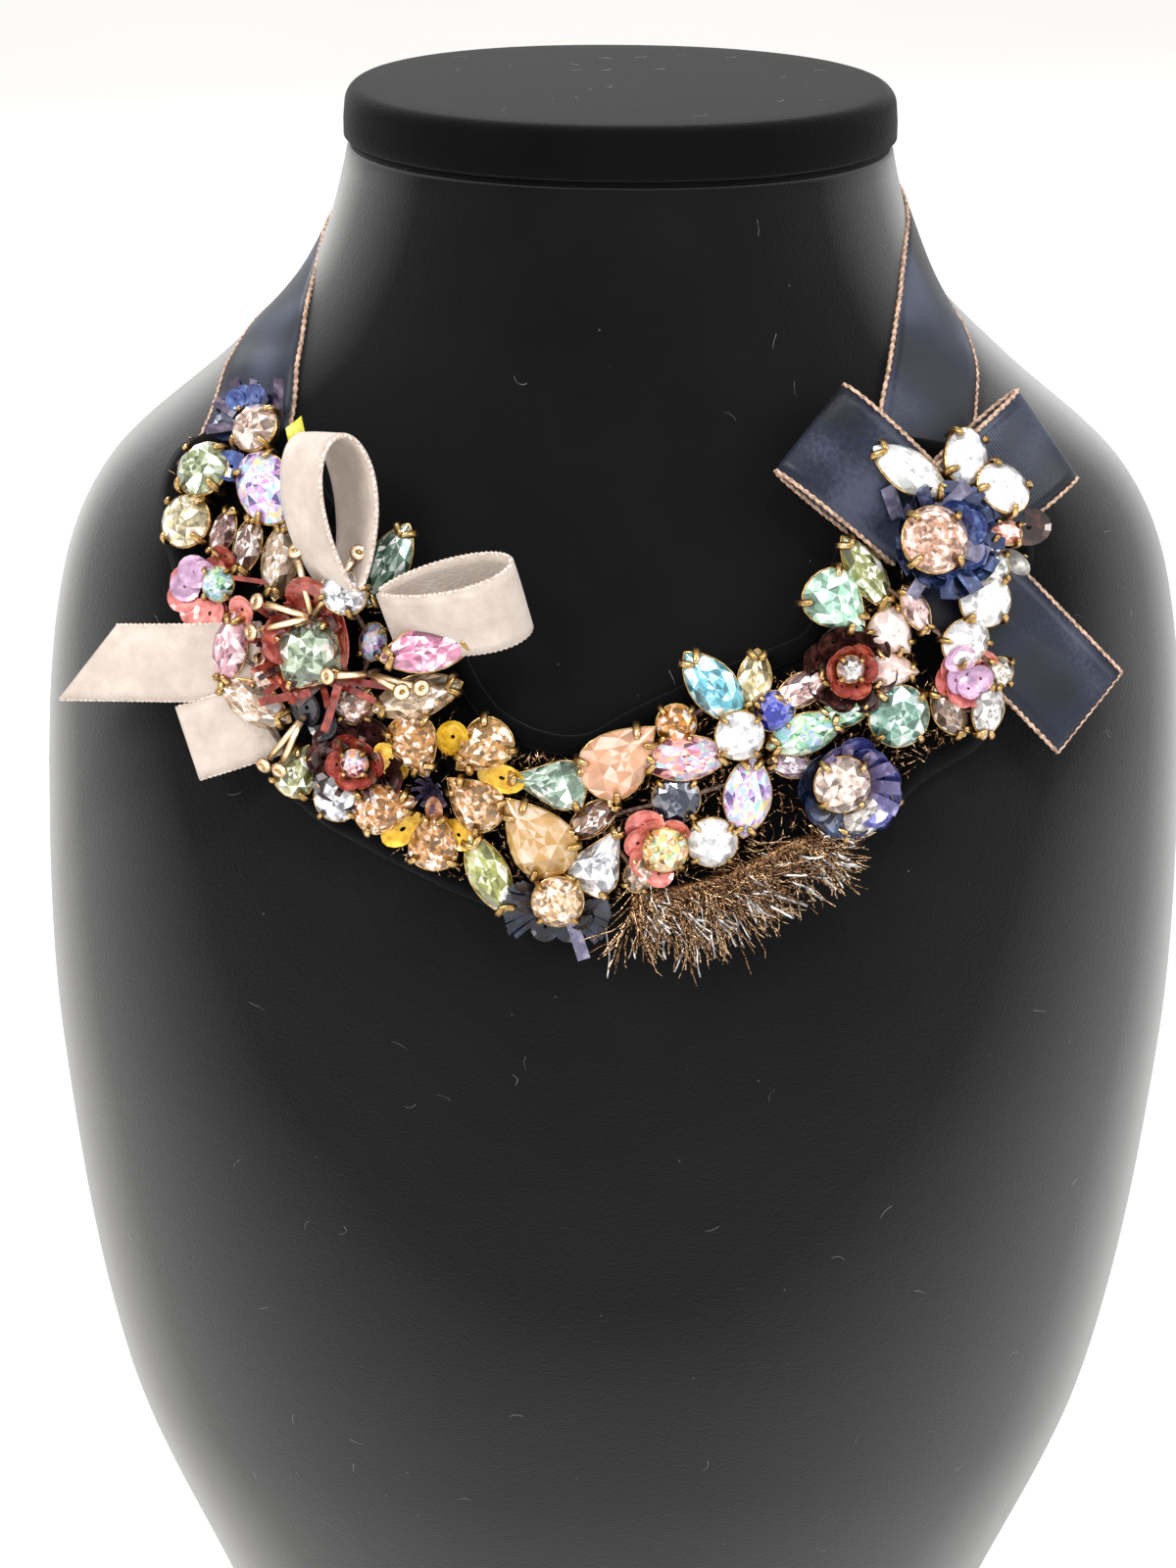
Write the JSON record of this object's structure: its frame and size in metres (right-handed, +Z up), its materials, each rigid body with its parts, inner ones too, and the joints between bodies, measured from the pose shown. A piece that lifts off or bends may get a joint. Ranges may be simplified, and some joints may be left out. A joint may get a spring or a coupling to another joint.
{
  "type": "bib necklace on a neck bust",
  "caption": "Bib of claw-set crystals, sequin flowers, bead pins, a thread fringe and ribbon bows on a ribbon neckband, worn by a velvet neck bust.",
  "frame": {"origin": "middle of the bust's flat foot, on the surface that it stands on", "axes": "+Z up, -Y out of the front where the bib lies, +X to the right of the picture"},
  "size_m": [0.2166, 0.1252, 0.34],
  "materials": {
    "black_velvet": "black cotton velvet, matt",
    "backing_felt": "black felt with a rolled velvet edge",
    "navy_satin": "navy satin ribbon, soft sheen",
    "blush_velvet": "blush velvet ribbon, matt pile",
    "gold_plate": "polished pale gold plate",
    "copper_thread": "copper metallic thread, glinting",
    "navy_flower": "glossy sequins",
    "gold_pear_flower": "glossy sequins",
    "navy_rosette": "glossy sequins",
    "coral_flower": "glossy sequins",
    "violet_flower": "glossy sequins",
    "rust_rosette": "glossy sequins",
    "brown_flower": "glossy sequins",
    "rust_flower": "glossy sequins",
    "navy_leaves": "glossy sequins",
    "pink_flower_left": "glossy sequins",
    "pink_flower_right": "glossy sequins",
    "aurora_round_centre": "clear cut glass in a gold claw setting",
    "rose_round_large": "clear cut glass in a gold claw setting",
    "rose_round_violet": "clear cut glass in a gold claw setting",
    "amber_round_lower": "clear cut glass in a gold claw setting",
    "green_cushion": "clear cut glass in a gold claw setting",
    "turquoise_navette": "clear cut glass in a gold claw setting",
    "rose_navette": "clear cut glass in a gold claw setting",
    "aurora_navette_low": "clear cut glass in a gold claw setting",
    "mint_navette": "clear cut glass in a gold claw setting",
    "sand_pear": "clear cut glass in a gold claw setting",
    "peach_pear": "clear cut glass in a gold claw setting",
    "sea_green_kite": "clear cut glass in a gold claw setting",
    "clear_kite": "clear cut glass in a gold claw setting",
    "lime_navette": "clear cut glass in a gold claw setting",
    "clear_round_mid": "clear cut glass in a gold claw setting",
    "pink_navette": "clear cut glass in a gold claw setting",
    "champagne_navette_low": "clear cut glass in a gold claw setting",
    "green_navette": "clear cut glass in a gold claw setting",
    "aurora_oval": "clear cut glass in a gold claw setting",
    "olive_round": "clear cut glass in a gold claw setting",
    "gold_round": "clear cut glass in a gold claw setting",
    "aurora_navette_end": "clear cut glass in a gold claw setting",
    "mint_pear": "clear cut glass in a gold claw setting",
    "teal_round": "clear cut glass in a gold claw setting",
    "left_small_crystals": "clear cut glass in a gold claw setting",
    "left_brown_crystals": "clear cut glass in a gold claw setting",
    "left_edge_crystals": "clear cut glass in a gold claw setting",
    "centre_back_crystals": "clear cut glass in a gold claw setting",
    "centre_low_crystals": "clear cut glass in a gold claw setting",
    "right_end_crystals": "clear cut glass in a gold claw setting",
    "right_edge_crystals": "clear cut glass in a gold claw setting",
    "right_blush_crystals": "clear cut glass in a gold claw setting"
  },
  "bodies": {
    "root": {"bust_form": "black_velvet", "bib_backing": "backing_felt", "neck_ribbon_left": "navy_satin", "neck_ribbon_right": "navy_satin", "back_clasp": "gold_plate", "aurora_round_centre": "aurora_round_centre", "rose_round_large": "rose_round_large", "rose_round_violet": "rose_round_violet", "amber_round_lower": "amber_round_lower", "green_cushion": "green_cushion", "turquoise_navette": "turquoise_navette", "rose_navette": "rose_navette", "aurora_navette_low": "aurora_navette_low", "mint_navette": "mint_navette", "sand_pear": "sand_pear", "peach_pear": "peach_pear", "sea_green_kite": "sea_green_kite", "clear_kite": "clear_kite", "lime_navette": "lime_navette", "clear_round_mid": "clear_round_mid", "pink_navette": "pink_navette", "champagne_navette_low": "champagne_navette_low", "green_navette": "green_navette", "aurora_oval": "aurora_oval", "olive_round": "olive_round", "gold_round": "gold_round", "aurora_navette_end": "aurora_navette_end", "mint_pear": "mint_pear", "teal_round": "teal_round", "navy_flower": "navy_flower", "satin_loop_left": "navy_satin", "satin_loop_right": "navy_satin", "velvet_loop_upper": "blush_velvet", "velvet_loop_lower": "blush_velvet", "satin_tail": "navy_satin", "velvet_tail_long": "blush_velvet", "velvet_tail_short": "blush_velvet", "bead_pins_left": "gold_plate", "bead_pins_right": "gold_plate", "bead_pins_low": "gold_plate", "left_small_crystals": "left_small_crystals", "left_brown_crystals": "left_brown_crystals", "left_edge_crystals": "left_edge_crystals", "centre_back_crystals": "centre_back_crystals", "centre_low_crystals": "centre_low_crystals", "right_end_crystals": "right_end_crystals", "right_edge_crystals": "right_edge_crystals", "right_blush_crystals": "right_blush_crystals", "gold_pear_flower": "gold_pear_flower", "navy_rosette": "navy_rosette", "coral_flower": "coral_flower", "violet_flower": "violet_flower", "rust_rosette": "rust_rosette", "brown_flower": "brown_flower", "rust_flower": "rust_flower", "navy_leaves": "navy_leaves", "pink_flower_left": "pink_flower_left", "pink_flower_right": "pink_flower_right", "thread_fringe": "copper_thread"}
  },
  "joints": []
}
